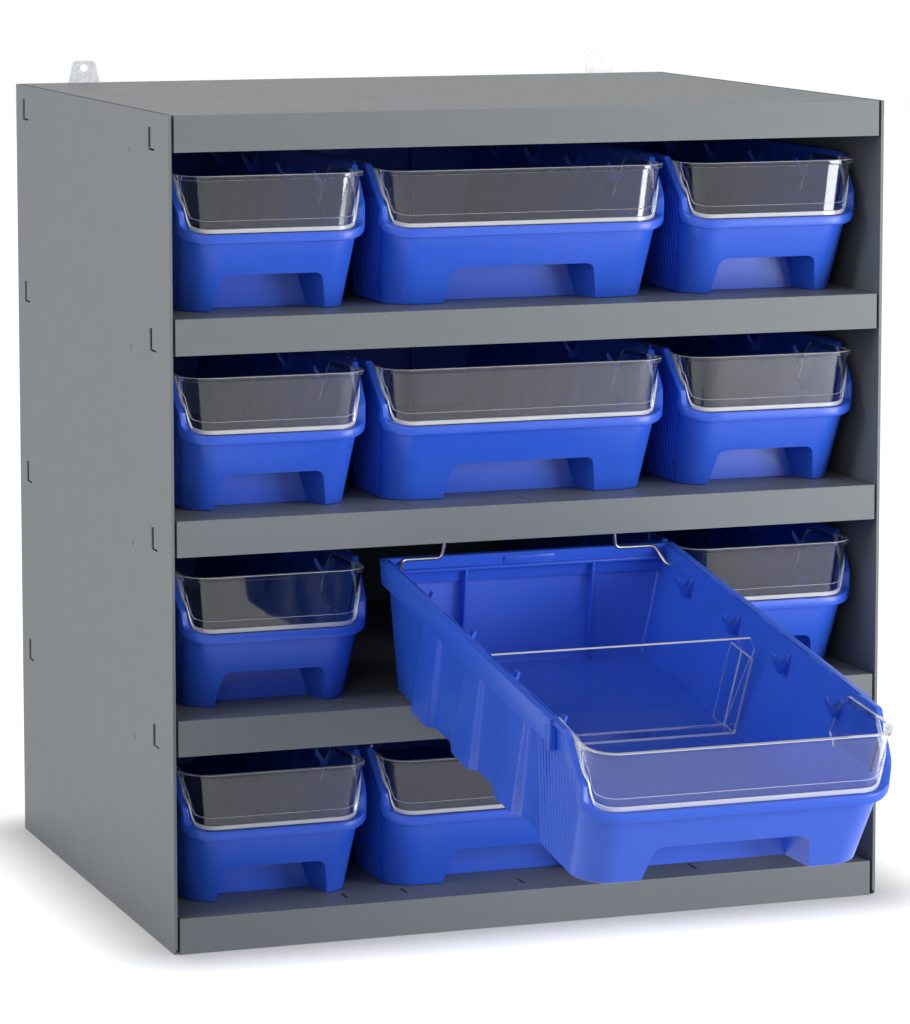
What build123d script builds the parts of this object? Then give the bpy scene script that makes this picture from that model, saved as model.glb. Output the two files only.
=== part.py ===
from build123d import *
from math import atan, cos, radians, sin
import os

os.makedirs("parts", exist_ok=True)

# Cabinet, in millimetres. The wall face is y = 0, the front is at -depth, the base is z = 0.
width = 600.0
depth = 476.0
rows = 4
shelf_pitch = 156.6
bottom_shelf_top = 28.6
sheet = 1.2
back_sheet = 1.0
fascia_drop = 28.4
fascia_hem = 8.0
base_clear = 0.2
side_hem = 12.0
end_gap = 2.1
side_return = 15.0
toe_radius = 4.0
back_flange = 12.0

height = bottom_shelf_top + rows * shelf_pitch
hem_thick = 2 * sheet
shelf_half = width / 2 - hem_thick - end_gap
panel_front = -(sheet + back_sheet)

# Hooked tabs of the shelves and the slots of the side panels that they hang in.
tab_front = 39.6
tab_back = 25.4
tab_long = 15.0
tab_high = 16.4
tab_drop = 11.6
slot_back_gap = 2.2
slot_foot_gap = 1.5
pin_slit_front = 110.6
pin_slit_drop = 30.4
pin_slit_wide = 2.0
pin_slit_high = 5.0

tab_starts = (-depth + tab_front, -tab_back - tab_long)

# Slits in each shelf, just in front of the closed bins.
slit_places = (-150.0, -100.0, 0.0, 100.0, 150.0)
slit_front = 23.0
slit_long = 19.0
slit_wide = 2.5

# Wall lugs.
lug_inset = 60.0
lug_foot = 28.0
lug_head = 20.0
lug_rise = 19.0
lug_sunk = 46.0
lug_corner = 5.0
lug_hole = 6.5
lug_hole_rise = 12.8

# Room round the bins: in front, behind, below, beside the outer rims and between the rims.
front_reveal = 43.6
rear_gap = 5.4
running_gap = 0.3
left_clear = 10.6
right_clear = 5.0
left_gap = 2.1
right_gap = 3.6

# Bins. Along the bin, u runs forward from the outside of its back wall, so y = -u. v runs up.
narrow_foot = 67.0
bin_high = 111.5
draft = 0.088
wall = 2.2
back_wall = 3.0
floor_high = 18.5
floor_thick = 2.2
corner_radius = 26.0
front_lean = 0.38
band_out = 5.1

bin_long = depth - front_reveal - rear_gap
rim_spread = draft * bin_high + band_out
narrow_half = narrow_foot + rim_spread
wide_half = (width - left_clear - right_clear - left_gap - right_gap) / 2 - 2 * narrow_half
wide_foot = wide_half - rim_spread

# Flutes of the side walls: pads stand proud of the wall, lean forward and fade out upwards.
flutes = 3
flute_depth = 7.0
flute_fade = 150.0
flute_fade_inside = 125.0
flute_lean = 0.43
first_pad_front = 89.9
last_pad_long = 87.3
pad_long = 37.0
ramp_long = 22.0
step_long = 3.6

last_pad = bin_long - last_pad_long
flute_pitch = (last_pad + pad_long - first_pad_front) / flutes

# Rim band along the back and the sides.
band_drop = 21.5
band_flare = 1.0
band_short = 43.0
rim_short = 18.0

band_low = bin_high - band_drop
band_front = bin_long - band_short
rim_front = bin_long - rim_short

# Lip of the opening at the front, which climbs the sides to the rim.
lip_high = 62.5
lip_wide = 7.5
lip_proud = 2.5
lip_flare = 0.38
lip_radius = 22.0
lip_turn_back = 12.5
lip_turn_rise = 17.5
lip_turn_in = 27.0
lip_side_in = 3.0
lip_top_drop = 4.0
lip_heel = 5.0
lip_shoulder = 3.0

lip_low = lip_high - lip_wide
lip_turn_high = lip_high + lip_turn_rise
lip_top_high = bin_high - lip_top_drop

# Finger pull.
wide_pull_side = 45.4
narrow_pull_side = 20.2
pull_narrowing = 8.6
pull_high = 29.3
pull_deep = 27.0
pull_taper = 7.0

# Inside of the back wall.
ledge_drop = 9.0
ledge_thick = 2.4
ledge_deep = 8.0
gusset_share = 0.49
gusset_thick = 1.8
keeper_half = 21.5
keeper_high = 6.5
keeper_thick = 2.2

ledge_high = bin_high - ledge_drop

# Wire stop, pivoted in the side walls.
wire_thick = 3.2
wire_sides = 6
pivot_back = 20.0
pivot_drop = 13.5
pivot_play = 0.3
pivot_seat = 4.0
wire_back = 5.2
wire_arm_drop = 1.5
wire_arm_in = 9.0
wire_run = 34.0
wire_clear = 7.4
wire_top_in = 6.0
wire_knee_out = 5.5

pivot_high = bin_high - pivot_drop
wire_arm_high = bin_high - wire_arm_drop
wire_top = shelf_pitch - wire_clear

# Clear window in the front opening: a front wall, with a wing inside each side wall.
glass = 2.0
glass_gap = 0.3
glass_drop = 3.5
glass_lip = 4.0
glass_ahead = 22.4
glass_radius = 22.0
wing_rise = 4.5
wing_low_long = 72.0
wing_top_long = 55.0
wing_short = 1.0
wing_pinch = 0.064

glass_high = bin_high - glass_drop
glass_front = bin_long + glass_ahead
wing_low = lip_high + wing_rise
wing_low_back = bin_long - wing_low_long
wing_top_back = bin_long - wing_top_long
wing_front = bin_long - wing_short

# Divider of the pulled bin.
divider_thick = 2.0
divider_gap = 0.6
divider_lean = 0.34
divider_place = 180.0
divider_head_drop = 12.5
divider_drop = 11.0
divider_foot = 21.0

divider_high = bin_high - divider_head_drop

# Places of the bins, and how the pulled one hangs on the edge of its shelf.
left_place = -width / 2 + left_clear + narrow_half
middle_place = left_place + narrow_half + left_gap + wide_half
right_place = width / 2 - right_clear - narrow_half
pulled_row = 3
pulled_shift = 1.5
pulled_overlap = 38.3
droop_angle = 8.67

# How far a cutting shape passes the piece that it cuts.
overshoot = 5.0


def shelf_top(row):
    """Top of the shelf under a row of bins. Row 1 is the highest, row 0 is the top panel."""
    return height - row * shelf_pitch


def side_panel(sign):
    """One side panel: slotted skin, folded hem in front, returns at the back and the base."""
    skin = sign * (width / 2 - sheet / 2)
    inner = sign * (width / 2 - sheet - side_return / 2)
    base_long = depth - side_hem + panel_front
    with BuildPart() as panel:
        with BuildSketch(Plane.YZ.offset(sign * width / 2)):
            with Locations((-depth / 2, height / 2)):
                Rectangle(depth, height)
            fillet(vertices().group_by(Axis.X)[0].sort_by(Axis.Y)[0], toe_radius)
            for row in range(rows):
                top = shelf_top(row) - tab_drop
                slot_high = tab_high + slot_foot_gap
                slot_long = tab_long + slot_back_gap
                for start in tab_starts:
                    with Locations((start + slot_long / 2, top - slot_high / 2)):
                        Rectangle(slot_long, slot_high, mode=Mode.SUBTRACT)
                slit = -depth + pin_slit_front + pin_slit_wide / 2
                with Locations((slit, shelf_top(row) - pin_slit_drop - pin_slit_high / 2)):
                    Rectangle(pin_slit_wide, pin_slit_high, mode=Mode.SUBTRACT)
        extrude(amount=-sign * sheet)
        with Locations((skin - sign * sheet, -depth + side_hem / 2, (height + toe_radius) / 2)):
            Box(sheet, side_hem, height - toe_radius)
        with Locations((inner, panel_front + sheet / 2, height / 2)):
            Box(side_return, sheet, height)
        with Locations((inner, panel_front - base_long / 2, sheet / 2)):
            Box(side_return, base_long, sheet)
    return panel.part


def shelf(row, drop, slits, tabs):
    """A folded sheet shelf: deck, fascia with its hem, end flanges, back flange and tabs."""
    top = shelf_top(row)
    back = panel_front
    long = depth + back
    flange_drop = drop if tabs else top - sheet
    with BuildPart() as tray:
        with Locations((0, back - long / 2, top - sheet / 2)):
            Box(2 * shelf_half, long, sheet)
        with Locations((0, -depth + sheet / 2, top - drop / 2)):
            Box(2 * shelf_half, sheet, drop)
        with Locations((0, -depth + 1.5 * sheet, top - drop + fascia_hem / 2)):
            Box(2 * shelf_half, sheet, fascia_hem)
        with Locations((0, back - sheet / 2, top - back_flange / 2)):
            Box(2 * shelf_half, sheet, back_flange)
        for sign in (-1, 1):
            with Locations((sign * (shelf_half - sheet / 2), back - long / 2, top - flange_drop / 2)):
                Box(sheet, long, flange_drop)
            if tabs:
                reach = width / 2 - shelf_half
                across = sign * (shelf_half + reach / 2)
                for start in tab_starts:
                    with Locations((across, start + tab_long / 2, top - tab_drop - tab_high / 2)):
                        Box(reach, tab_long, tab_high)
        if slits:
            for place in slit_places:
                with Locations((place, -depth + slit_front + slit_long / 2, top - sheet / 2)):
                    Box(slit_wide, slit_long, sheet, mode=Mode.SUBTRACT)
    return tray.part


def back_panel():
    """Flat back sheet between the sides, whose rear face is the wall face."""
    with BuildPart() as panel:
        with Locations((0, -back_sheet / 2, height / 2)):
            Box(width - 2 * sheet, back_sheet, height)
    return panel.part


def wall_lug(sign):
    """Tapered hanging lug with a screw hole, fixed to the inside of the back panel."""
    middle = sign * (width / 2 - lug_inset)
    with BuildPart() as lug:
        with BuildSketch(Plane.XZ.offset(back_sheet)):
            with BuildLine():
                Polyline(
                    (middle - lug_foot / 2, height - lug_sunk),
                    (middle - lug_foot / 2, height),
                    (middle - lug_head / 2, height + lug_rise),
                    (middle + lug_head / 2, height + lug_rise),
                    (middle + lug_foot / 2, height),
                    (middle + lug_foot / 2, height - lug_sunk),
                    close=True,
                )
            make_face()
            fillet(vertices().group_by(Axis.Y)[-1], lug_corner)
            with Locations((middle, height + lug_hole_rise)):
                Circle(lug_hole / 2, mode=Mode.SUBTRACT)
        extrude(amount=sheet)
    return lug.part


def pad_half(foot, v):
    """Half width outside the proud pads at height v."""
    return foot + draft * v


def apron(v):
    """How far forward the outside of the front wall is at height v."""
    return bin_long + front_lean * v


def full_plan(points, v):
    """Corners of a symmetric plan at height v, from those of its right half, back to front."""
    right = [(x, y, v) for x, y in points]
    left = [(-x, y, z) for x, y, z in reversed(right)]
    return right + left


def flat_block(low, high):
    """Solid with flat faces between two plans whose corners match."""
    skin = [Face(Wire.make_polygon(low)), Face(Wire.make_polygon(high))]
    for count, corner in enumerate(low):
        after = (count + 1) % len(low)
        skin.append(Face(Wire.make_polygon([corner, low[after], high[after], high[count]])))
    return Solid(Shell(skin))


def rounded_block(low, high, radius):
    """Flat-faced block between two plans, with its two upright front edges rounded."""
    with BuildPart() as block:
        add(flat_block(low, high))
        front = faces().sort_by(Axis.Y)[0]
        fillet(front.edges().filter_by(Plane.XY, reverse=True), radius)
    return block.part


def wall_section(foot, v, inset=0.0):
    """Plan of the fluted wall at height v, moved inwards by inset."""
    fade = 1 - v / (flute_fade_inside if inset else flute_fade)
    pad = pad_half(foot, v) - inset
    groove = pad - flute_depth * fade
    points = [(groove, -back_wall if inset else 0.0)]
    for count in range(flutes):
        front = first_pad_front + count * flute_pitch + flute_lean * v - inset / 2
        points.append((groove, -(front - pad_long - ramp_long * fade)))
        points.append((pad, -(front - pad_long)))
        points.append((pad, -front))
        points.append((groove, -(front + step_long * fade)))
    start = last_pad + flute_lean * v
    points.append((groove, -(start - ramp_long * fade)))
    points.append((pad, -start))
    points.append((pad, -(apron(v) - inset)))
    return full_plan(points, v)


def box_section(half, front, v):
    """Plain rectangle in plan at height v, from the back of the bin to the given front."""
    return full_plan([(half, 0), (half, -front)], v)


def lip_tip():
    """How far forward the lip stands."""
    return apron(lip_low) + lip_proud


def pull_section(foot, v, grow, front):
    """Plan of the finger pull at height v, grown outwards by grow."""
    side = wide_pull_side if foot == wide_foot else narrow_pull_side
    mouth = foot - side - pull_narrowing * v / pull_high + grow
    back = bin_long - pull_deep - grow
    slope = pull_taper / pull_deep
    back_half = mouth - slope * (bin_long - back)
    front_half = mouth - slope * (bin_long - front)
    return full_plan([(back_half, -back), (front_half, -front)], v)


def top_half(foot):
    """Half width outside the rim."""
    return foot + rim_spread


def opening_cut(foot, rise=0.0):
    """Everything in front of and above the edge of the front opening, moved up by rise."""
    reach = top_half(foot) + overshoot
    turn_u = lip_tip() - lip_turn_back
    turn_v = lip_turn_high + rise
    start = top_half(foot) - lip_turn_in
    sky = bin_high + 2 * overshoot
    with BuildPart() as cut:
        with BuildSketch(Plane.YZ):
            with BuildLine():
                Polyline(
                    (-apron(sky), turn_v),
                    (-turn_u, turn_v),
                    (-rim_front - lip_shoulder, lip_top_high + rise),
                    (-rim_front, bin_high),
                    (-rim_front, sky),
                    (-apron(sky), sky),
                    close=True,
                )
            make_face()
        extrude(amount=reach, both=True)
        with BuildSketch(Plane.XZ.offset(turn_u)):
            with BuildLine():
                Line((0, lip_high + rise), (start, lip_high + rise))
                TangentArc(
                    (start, lip_high + rise),
                    (top_half(foot) - lip_side_in, turn_v),
                    tangent=(1, 0),
                )
                Polyline((top_half(foot) - lip_side_in, turn_v), (reach, turn_v), (reach, sky), (0, sky))
                mirror(about=Plane.YZ)
            make_face()
        extrude(amount=apron(sky) - turn_u)
    return cut.part


def lip_strip(foot):
    """Band along the edge of the opening and the rim in front of the skirt, as a through solid."""
    tip = lip_tip()
    turn_u = tip - lip_turn_back
    drop = lip_wide * 0.75
    rim_low = bin_high - lip_wide
    with BuildPart() as strip:
        with BuildSketch(Plane.YZ):
            with BuildLine():
                Polyline(
                    (-tip - overshoot, lip_low),
                    (-tip + lip_heel, lip_low),
                    (-turn_u + drop, lip_turn_high - drop),
                    (-rim_front, rim_low - lip_shoulder),
                    (-rim_front + lip_heel, rim_low),
                    (-band_front, rim_low),
                    (-band_front, bin_high),
                    (-tip - overshoot, bin_high),
                    close=True,
                )
            make_face()
        extrude(amount=top_half(foot) + overshoot, both=True)
    return strip.part


def lip_band(foot):
    """The lip: flares out from the front corners, then stands as wide as the rim."""
    low = pad_half(foot, lip_high) + lip_proud
    high = low + lip_flare * (bin_high - lip_low)
    top = top_half(foot)
    tip = lip_tip()
    with BuildPart() as lip:
        add(rounded_block(box_section(low, tip, lip_low), box_section(high, tip, bin_high), lip_radius))
        upright = rounded_block(box_section(top, tip, lip_low), box_section(top, tip, bin_high), lip_radius)
        add(upright, mode=Mode.INTERSECT)
        add(lip_strip(foot), mode=Mode.INTERSECT)
    return lip.part


def underside_section(foot, v):
    """Plan of the hollow under the raised floor at height v, with cut corners."""
    half = pad_half(foot, v) - flute_depth - wall
    front = apron(v) - wall
    cut = corner_radius - flute_depth
    return full_plan([(half, -back_wall), (half, -front + corner_radius), (half - cut, -front)], v)


def tub_shell(foot):
    """Fluted tub with its rim band and lip, open at the top and the front."""
    top = top_half(foot)
    low = top - band_flare - draft * band_drop
    hollow_high = floor_high - floor_thick
    with BuildPart() as tub:
        add(rounded_block(wall_section(foot, 0), wall_section(foot, bin_high), corner_radius))
        add(flat_block(box_section(low, band_front, band_low), box_section(top, band_front, bin_high)))
        add(lip_band(foot))
        inside = rounded_block(
            wall_section(foot, floor_high, wall),
            wall_section(foot, bin_high, wall),
            corner_radius - wall,
        )
        add(inside, mode=Mode.SUBTRACT)
        add(opening_cut(foot), mode=Mode.SUBTRACT)
        hollow = flat_block(underside_section(foot, 0), underside_section(foot, hollow_high))
        add(hollow, mode=Mode.SUBTRACT)
    return tub.part


def bin_body(foot):
    """Moulded bin: tub with its finger pull, back ledge, gussets, keeper and pivot holes."""
    roof = pull_high + wall
    pull_wall = flat_block(
        pull_section(foot, 0, wall, apron(0) - wall),
        pull_section(foot, roof, wall, apron(roof) - wall),
    )
    pull_hollow = flat_block(
        pull_section(foot, 0, 0, apron(0) + overshoot),
        pull_section(foot, pull_high, 0, apron(pull_high) + overshoot),
    )
    ledge_half = pad_half(foot, ledge_high) - flute_depth / 2
    with BuildPart() as body:
        add(tub_shell(foot))
        add(pull_wall)
        add(pull_hollow, mode=Mode.SUBTRACT)
        with Locations((0, -back_wall - ledge_deep / 2, ledge_high - ledge_thick / 2)):
            Box(2 * ledge_half, ledge_deep, ledge_thick)
        with Locations((0, -back_wall - keeper_thick / 2, ledge_high + keeper_high / 2)):
            Box(2 * keeper_half, keeper_thick, keeper_high)
        for sign in (-1, 1):
            across = sign * gusset_share * foot
            with Locations((across, -back_wall - ledge_deep / 2, (floor_high + ledge_high) / 2)):
                Box(gusset_thick, ledge_deep, ledge_high - floor_high)
        with BuildSketch(Plane.YZ):
            with Locations((-pivot_back, pivot_high)):
                RegularPolygon(wire_thick / 2 + pivot_play, wire_sides, major_radius=False)
        extrude(amount=pivot_end(foot) + pivot_play, both=True, mode=Mode.SUBTRACT)
    return body.part


def pivot_end(foot):
    """How far out the ends of the wire stop reach, inside the wall of the bin."""
    return pad_half(foot, pivot_high) + pivot_seat - wall


def wire_stop(foot):
    """Bent wire bail that stops the bin at the shelf above."""
    end = pivot_end(foot)
    arm = pad_half(foot, pivot_high) - wall - wire_arm_in
    knee = arm - wire_run
    top = knee - wire_top_in
    half = [
        (end, -pivot_back, pivot_high),
        (arm + wire_knee_out, -pivot_back, pivot_high),
        (arm, -wire_back, wire_arm_high),
        (knee, -wire_back, wire_arm_high),
        (top, -wire_back, wire_top),
    ]
    other = [(-x, y, z) for x, y, z in reversed(half)]
    with BuildPart() as stop:
        with BuildLine() as path:
            Polyline(*half, *other)
        with BuildSketch(Plane(half[0], x_dir=(0, 1, 0), z_dir=(-1, 0, 0))):
            RegularPolygon(wire_thick / 2, wire_sides, major_radius=False)
        sweep(path=path.wire(), transition=Transition.RIGHT)
    return stop.part


def glass_plan(foot, v, inset):
    """Plan of the window wall at height v, moved inwards by inset. Its wings lean in to the rear."""
    half = pad_half(foot, v) - wall - glass_gap - inset
    back = wing_low_back - overshoot
    front = glass_front + draft * (v - lip_high) - inset
    rear_half = half - wing_pinch * (bin_long - back)
    front_half = half - wing_pinch * (bin_long - front)
    return full_plan([(rear_half, -back), (front_half, -front)], v)


def window(foot):
    """Clear window: U-shaped wall with wings inside the bin, cut out of one block by a smaller one."""
    low = lip_high - glass_lip
    outer = [glass_plan(foot, v, 0) for v in (low, glass_high)]
    inner = [glass_plan(foot, v, glass) for v in (low - overshoot, glass_high + overshoot)]
    with BuildPart() as outline:
        with BuildSketch(Plane.YZ):
            with BuildLine():
                Polyline(
                    (-wing_low_back, wing_low),
                    (-wing_top_back, glass_high),
                    (-wing_front, glass_high),
                    (-wing_front, wing_low),
                    close=True,
                )
            make_face()
        extrude(amount=top_half(foot), both=True)
        add(opening_cut(foot, glass_gap))
    with BuildPart() as pane:
        add(rounded_block(*outer, glass_radius))
        add(outline.part, mode=Mode.INTERSECT)
        add(rounded_block(*inner, glass_radius - glass), mode=Mode.SUBTRACT)
    return pane.part


def divider(foot):
    """Clear cross divider: leaning plate, side flanges fore and aft, foot on the floor."""
    base = floor_high + running_gap
    low_half = pad_half(foot, base) - flute_depth - wall - divider_gap
    high_half = pad_half(foot, divider_high) - flute_depth - divider_gap
    lean = atan(divider_lean)
    long = (divider_high - base) / cos(lean)
    shoulder = (divider_high - divider_drop - base) / cos(lean)
    rise = Plane(
        (0, -divider_place, base + divider_thick * sin(lean)),
        x_dir=(1, 0, 0),
        z_dir=(0, -cos(lean), -sin(lean)),
    )
    with BuildPart() as plate:
        with BuildSketch(rise):
            with BuildLine():
                Polyline(
                    (-low_half, 0),
                    (low_half, 0),
                    (high_half, shoulder),
                    (high_half - divider_drop / 2, long),
                    (-high_half + divider_drop / 2, long),
                    (-high_half, shoulder),
                    close=True,
                )
            make_face()
        extrude(amount=divider_thick)
        with Locations((0, -divider_place - divider_foot / 2, base + divider_thick / 2)):
            Box(2 * low_half, divider_foot, divider_thick)
        reach = divider_lean * (divider_high - divider_drop - base)
        for sign in (-1, 1):
            with BuildSketch(Plane.YZ.offset(sign * low_half)):
                with BuildLine():
                    Polyline(
                        (-divider_place + divider_foot, base),
                        (-divider_place - divider_foot, base),
                        (-divider_place - divider_foot - reach, divider_high - divider_drop),
                        (-divider_place + divider_foot - reach, divider_high - divider_drop),
                        close=True,
                    )
                make_face()
            extrude(amount=-sign * divider_thick)
    return plate.part


def save(name, solid):
    """Label one finished piece and write it to its own file."""
    solid.label = name
    export_step(solid, f"parts/{name}.step")


def placed(solid, plane):
    """A copy of a piece, set on the given plane."""
    with BuildPart() as copy:
        with Locations(Location(plane)):
            add(solid)
    return copy.part


def closed_plane(place, row):
    """Plane of a closed bin: level, a running gap above its shelf."""
    return Plane((place, -rear_gap, shelf_top(row) + running_gap))


def pulled_plane():
    """Plane of the pulled bin, nose down over the edge of its shelf."""
    droop = radians(droop_angle)
    back = -depth + pulled_overlap * cos(droop) - running_gap * sin(droop)
    lift = shelf_top(pulled_row) + pulled_overlap * sin(droop) + running_gap * cos(droop)
    across = middle_place - pulled_shift
    return Plane((across, back, lift), x_dir=(1, 0, 0), z_dir=(0, -sin(droop), cos(droop)))


save("side_left", side_panel(-1))
save("side_right", side_panel(1))
save("top_panel", shelf(0, fascia_drop, slits=False, tabs=True))
for row in range(1, rows):
    save(f"shelf_{row}", shelf(row, fascia_drop, slits=True, tabs=True))
save("bottom_shelf", shelf(rows, bottom_shelf_top - base_clear, slits=True, tabs=False))
save("back_panel", back_panel())
save("wall_lug_left", wall_lug(-1))
save("wall_lug_right", wall_lug(1))

columns = {
    "left": (narrow_foot, left_place),
    "middle": (wide_foot, middle_place),
    "right": (narrow_foot, right_place),
}
makers = {"bin": bin_body, "window": window, "wire_stop": wire_stop}
for kind, maker in makers.items():
    shapes = {foot: maker(foot) for foot in (narrow_foot, wide_foot)}
    for row in range(1, rows + 1):
        for column, (foot, place) in columns.items():
            pulled = row == pulled_row and column == "middle"
            plane = pulled_plane() if pulled else closed_plane(place, row)
            save(f"{kind}_{row}_{column}", placed(shapes[foot], plane))
save(f"divider_{pulled_row}_middle", placed(divider(wide_foot), pulled_plane()))
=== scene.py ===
"""Looks of a bin shelving unit: folded steel cabinet, moulded bins, clear windows, wire stops."""
from math import cos, pi, radians, sin, sqrt

import bmesh
import bpy
from mathutils import Matrix, Vector


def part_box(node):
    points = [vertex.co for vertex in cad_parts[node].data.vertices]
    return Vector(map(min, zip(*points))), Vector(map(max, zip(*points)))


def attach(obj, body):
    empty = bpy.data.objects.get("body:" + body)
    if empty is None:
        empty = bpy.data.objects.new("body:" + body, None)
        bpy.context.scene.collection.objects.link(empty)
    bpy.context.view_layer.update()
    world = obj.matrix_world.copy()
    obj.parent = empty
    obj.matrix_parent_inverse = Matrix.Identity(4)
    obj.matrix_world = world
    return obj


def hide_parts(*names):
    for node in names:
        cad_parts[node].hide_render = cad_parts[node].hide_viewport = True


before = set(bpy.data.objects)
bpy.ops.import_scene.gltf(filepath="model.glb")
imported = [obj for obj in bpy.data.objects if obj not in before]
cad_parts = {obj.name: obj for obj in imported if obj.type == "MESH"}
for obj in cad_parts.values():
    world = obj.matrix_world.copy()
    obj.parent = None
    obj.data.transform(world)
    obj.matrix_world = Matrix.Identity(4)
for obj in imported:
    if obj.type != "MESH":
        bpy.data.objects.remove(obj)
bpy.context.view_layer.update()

# Sizes are in millimetres and MM turns them into metres. Materials and lamps are in metres.
MM = 0.001

# Bins. u runs forward from the outside of the back wall, v runs up.
rows = 4
wide_foot = 110.614
narrow_foot = 67.0
bin_long = 427.0
bin_high = 111.5
draft = 0.088
wall = 2.2
back_wall = 3.0
floor_high = 18.5
floor_thick = 2.2
front_lean = 0.38
front_corner = 26.0
running_gap = 0.3
pulled_overlap = 38.3
droop_angle = 8.67

# Flutes of the side walls.
flutes = 3
flute_depth = 7.0
flute_fade = 150.0
flute_fade_inside = 125.0
flute_lean = 0.43
first_pad_front = 89.9
flute_pitch = 95.6
pad_long = 37.0
ramp_long = 22.0
step_long = 3.6
flute_round = 2.2

# Stations of a plan, and levels of the wall as shares of its height. middle_high is the height at
# which the wall's outward direction is taken, and the opening's edge is searched by halving.
pad_stations = 16
corner_steps = 12
front_stations = 8
wall_levels = (0.35, 0.7)
middle_high = 50.0
search_below = 10.0
search_steps = 24

# Eased edges of the shell, each with its middle point.
shell_short = 0.15
foot_ease = 0.5
rim_ease = 0.7
rim_ease_mid = 0.2
floor_fillet = 3.0
floor_fillet_mid = 0.9

# Rim band. Its section is given as depth behind its face and height over band_low or over the rim.
band_low = 90.0
band_out = 5.1
band_flare = 1.0
band_front = 384.0
band_corner = 4.0
band_turn_steps = 5
band_first_side = 40.0
band_end_ease = 0.8
band_end_mid = 0.2
band_low_section = ((6.0, 0.0), (0.6, 0.0), (0.15, 0.2), (0.0, 0.7))
band_rim_section = ((0.0, -0.9), (0.25, -0.25), (0.9, 0.0), (5.6, 0.0), (6.0, -0.4))

# Front opening and its lip, which gets slimmer where it climbs to the rim.
rim_front = 409.0
rim_drop_long = 3.0
lip_high = 62.5
lip_wide = 7.5
lip_front_out = 2.2
lip_side_out = 5.0
lip_slim_out = 3.0
lip_slim = 4.2
lip_turn_u = 437.9
lip_turn_high = 80.0
lip_turn_in = 27.0
lip_side_in = 3.0
lip_top_high = 107.5
lip_start = 6.0
lip_climb = 12.0
lip_side_from = 0.15
lip_side_over = 0.7
lip_sunk = 1.2
lip_crown = 0.1
lip_ease = 0.9
lip_ease_mid = 0.25
lip_low_ease = 1.0
lip_low_mid = 0.3

# Upright stub at the front end of the rim band, and the fine ribs near it, up to rib_top past the band.
stub_long = 8.0
stub_low = 87.0
stub_high = 106.0
stub_ahead = 1.0
stub_sunk = 1.0
stub_within = 0.1
stub_round = 1.4
rib_first = 346.0
rib_pitch = 6.2
ribs = 13
rib_high = 0.6
rib_half = 1.3
rib_sunk = 0.3
rib_low = 2.0
rib_top = 84.0
rib_under_band = 1.0
rib_past_band = 2.0

# Finger pull. pull_side is how far in from the side it starts, and pull_taper what it narrows to the back.
wide_pull_side = 45.4
narrow_pull_side = 20.2
pull_narrowing = 8.6
pull_high = 29.3
pull_deep = 27.0
pull_taper = 7.0
pull_round = 7.0
pull_steps = 6
pull_below = 5.0
pull_wall_back = 1.0
pull_cut_ahead = 30.0

# Inside of the back wall: ledge, its gussets, keeper for the wire and strips that seat it. overlap is
# how far a piece runs into the wall that carries it.
ledge_high = 102.5
ledge_thick = 2.4
ledge_deep = 8.0
ledge_round = 0.5
gusset_share = 0.49
gusset_thick = 1.8
gusset_round = 0.4
keeper_half = 21.5
keeper_high = 6.5
keeper_thick = 4.0
keeper_sunk = 1.0
seat_long = 60.0
seat_thick = 2.0
seat_back = 4.0
seat_sunk = 4.0
seat_wide = 1.5
overlap = 1.0

# Divider holders: a fork, given as distance from the wall's inside and height.
holder_places = (68.0, 163.0, 259.0, 357.0)
holder_thick = 7.0
holder_level = 100.0
holder_round = 0.5
holder_outline = (
    (-1.5, 88), (10.5, 88), (11, 93), (14.5, 98), (15.5, 103), (13.6, 104),
    (11, 99), (7.4, 94.6), (3.8, 99), (2.2, 104), (-1.5, 104),
)

# Wire stop. The pivots are in the side walls, and the wire rises from them to its top.
wire_thick = 3.2
pivot_back = 20.0
pivot_high = 98.0
pivot_seat = 4.0
wire_back = 5.2
wire_arm_high = 110.0
wire_arm_in = 9.0
wire_run = 34.0
wire_top = 149.2
wire_top_in = 6.0
wire_knee_out = 5.5
wire_bend = 4.5
wire_bend_steps = 6
wire_sides = 4

# Window: bead and double band along the opening, pane, rolled head and wings. Where the edge climbs, its
# section is stretched by climb_stretch. highlight_rows are the faces of the section that take the whitish
# finish, a painted highlight on the bead, the band's edge and the rolled head.
glass = 2.0
glass_gap = 0.3
glass_seat = 0.05
glass_high = 108.0
glass_front = 448.2
glass_corner = 22.0
glass_level = 90.0
glass_bead = 3.9
glass_bead_out = 1.2
glass_bead_foot = 0.5
glass_bead_ease = 0.4
glass_band = 10.3
glass_band_out = 0.35
glass_band_ease = 0.3
glass_roll = 4.0
glass_roll_out = 2.2
glass_roll_ease = 0.6
glass_roll_back = 4.0
glass_roll_fade = 12.0
glass_top_ease = 0.5
glass_hair = 0.1
climb_back = 14.0
climb_front = 4.0
climb_stretch = 1.45
wing_stations = 36
wing_low = 67.0
wing_low_back = 355.0
wing_top_back = 372.0
wing_tip = 10.0
wing_sweep = 1.15
wing_curve = 0.6
wing_chamfer = 8.0
wing_pinch = 0.064
highlight_rows = (2, 3, 4, 6, 8, 10, 11)

# Folded sheet. Folds are the outer edges longer than fold_long between faces wider than fold_wide.
# Faces narrower than rim_wide are the cut edges of clear sheet, which take the whitish finish of a painted
# highlight. The angles are in degrees.
fold_round = 1.6
edge_round = 0.3
divider_round = 0.8
fold_segments = 4
fold_wide = 4.0
fold_long = 20.0
rim_wide = 1.7
flat_angle = 1.0
fold_angle = 20.0
flat_weight = 100

# Meshes: distances within which points are welded, angles above which edges stay sharp or are eased,
# and the share of a side that a rounded corner may take.
weld = 0.01
mesh_weld = 0.02
smooth_angle = 32
window_smooth_angle = 40
sheet_smooth_angle = 40
ease_angle = 30
corner_share = 0.45

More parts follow.
